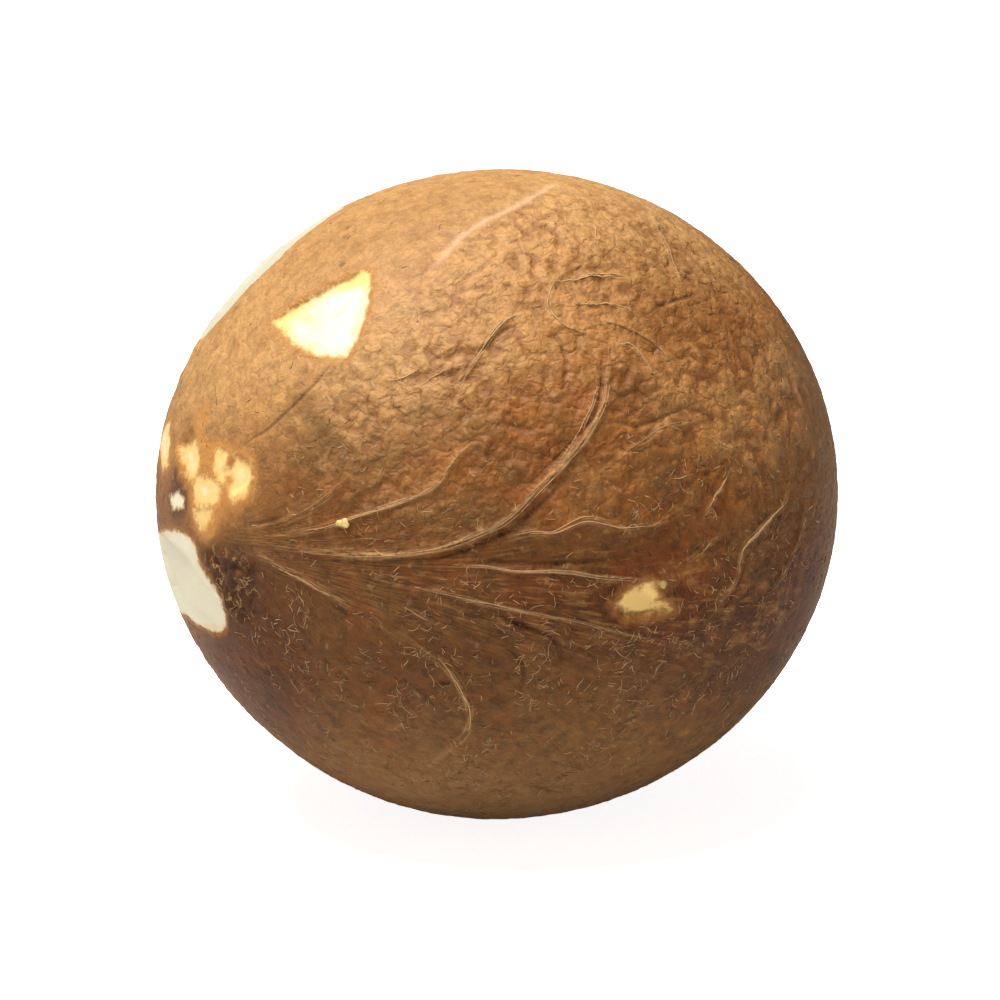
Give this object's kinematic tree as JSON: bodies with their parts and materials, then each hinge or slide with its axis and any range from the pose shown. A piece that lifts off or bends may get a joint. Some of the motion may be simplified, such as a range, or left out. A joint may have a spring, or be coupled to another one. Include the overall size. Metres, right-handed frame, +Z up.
{
  "type": "husked coconut",
  "caption": "Round coconut kernel with husk and hard shell off: brown skin with branching veins, lying on a small flat spot, with small pared nicks showing white flesh.",
  "frame": {"origin": "middle of the bounding box's underside, on the flat spot that the kernel lies on", "axes": "+Z up; X along the kernel's long axis, with the eye end, where the veins gather, at -X and the far end at +X; the side with the main veins faces -Y"},
  "size_m": [0.1064, 0.1, 0.0993],
  "materials": {
    "skin": null
  },
  "bodies": {
    "root": {"coconut": "skin"}
  },
  "joints": []
}
